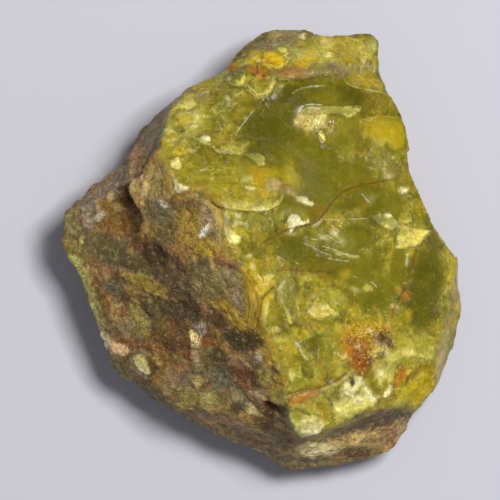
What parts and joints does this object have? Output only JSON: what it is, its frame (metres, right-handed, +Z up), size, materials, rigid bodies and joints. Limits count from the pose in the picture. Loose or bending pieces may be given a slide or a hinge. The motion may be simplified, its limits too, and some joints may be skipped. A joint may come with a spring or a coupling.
{
  "type": "rough green opal specimen",
  "caption": "Rough lump of green common opal with waxy fracture faces, a brown weathered flank and a dark front ledge, resting on a flat fracture face.",
  "frame": {"origin": "middle of the footprint's bounding box, on the surface that the stone rests on", "axes": "+Z up from the resting face; +Y from the front ledge to the capped far end, the longest extent; +X to the right"},
  "size_m": [0.0774, 0.085, 0.0385],
  "materials": {
    "green_opal": "waxy, slightly translucent olive-green fracture faces; dull brown rind on the left flank, the front and below"
  },
  "bodies": {
    "root": {"green_opal": "green_opal"}
  },
  "joints": []
}
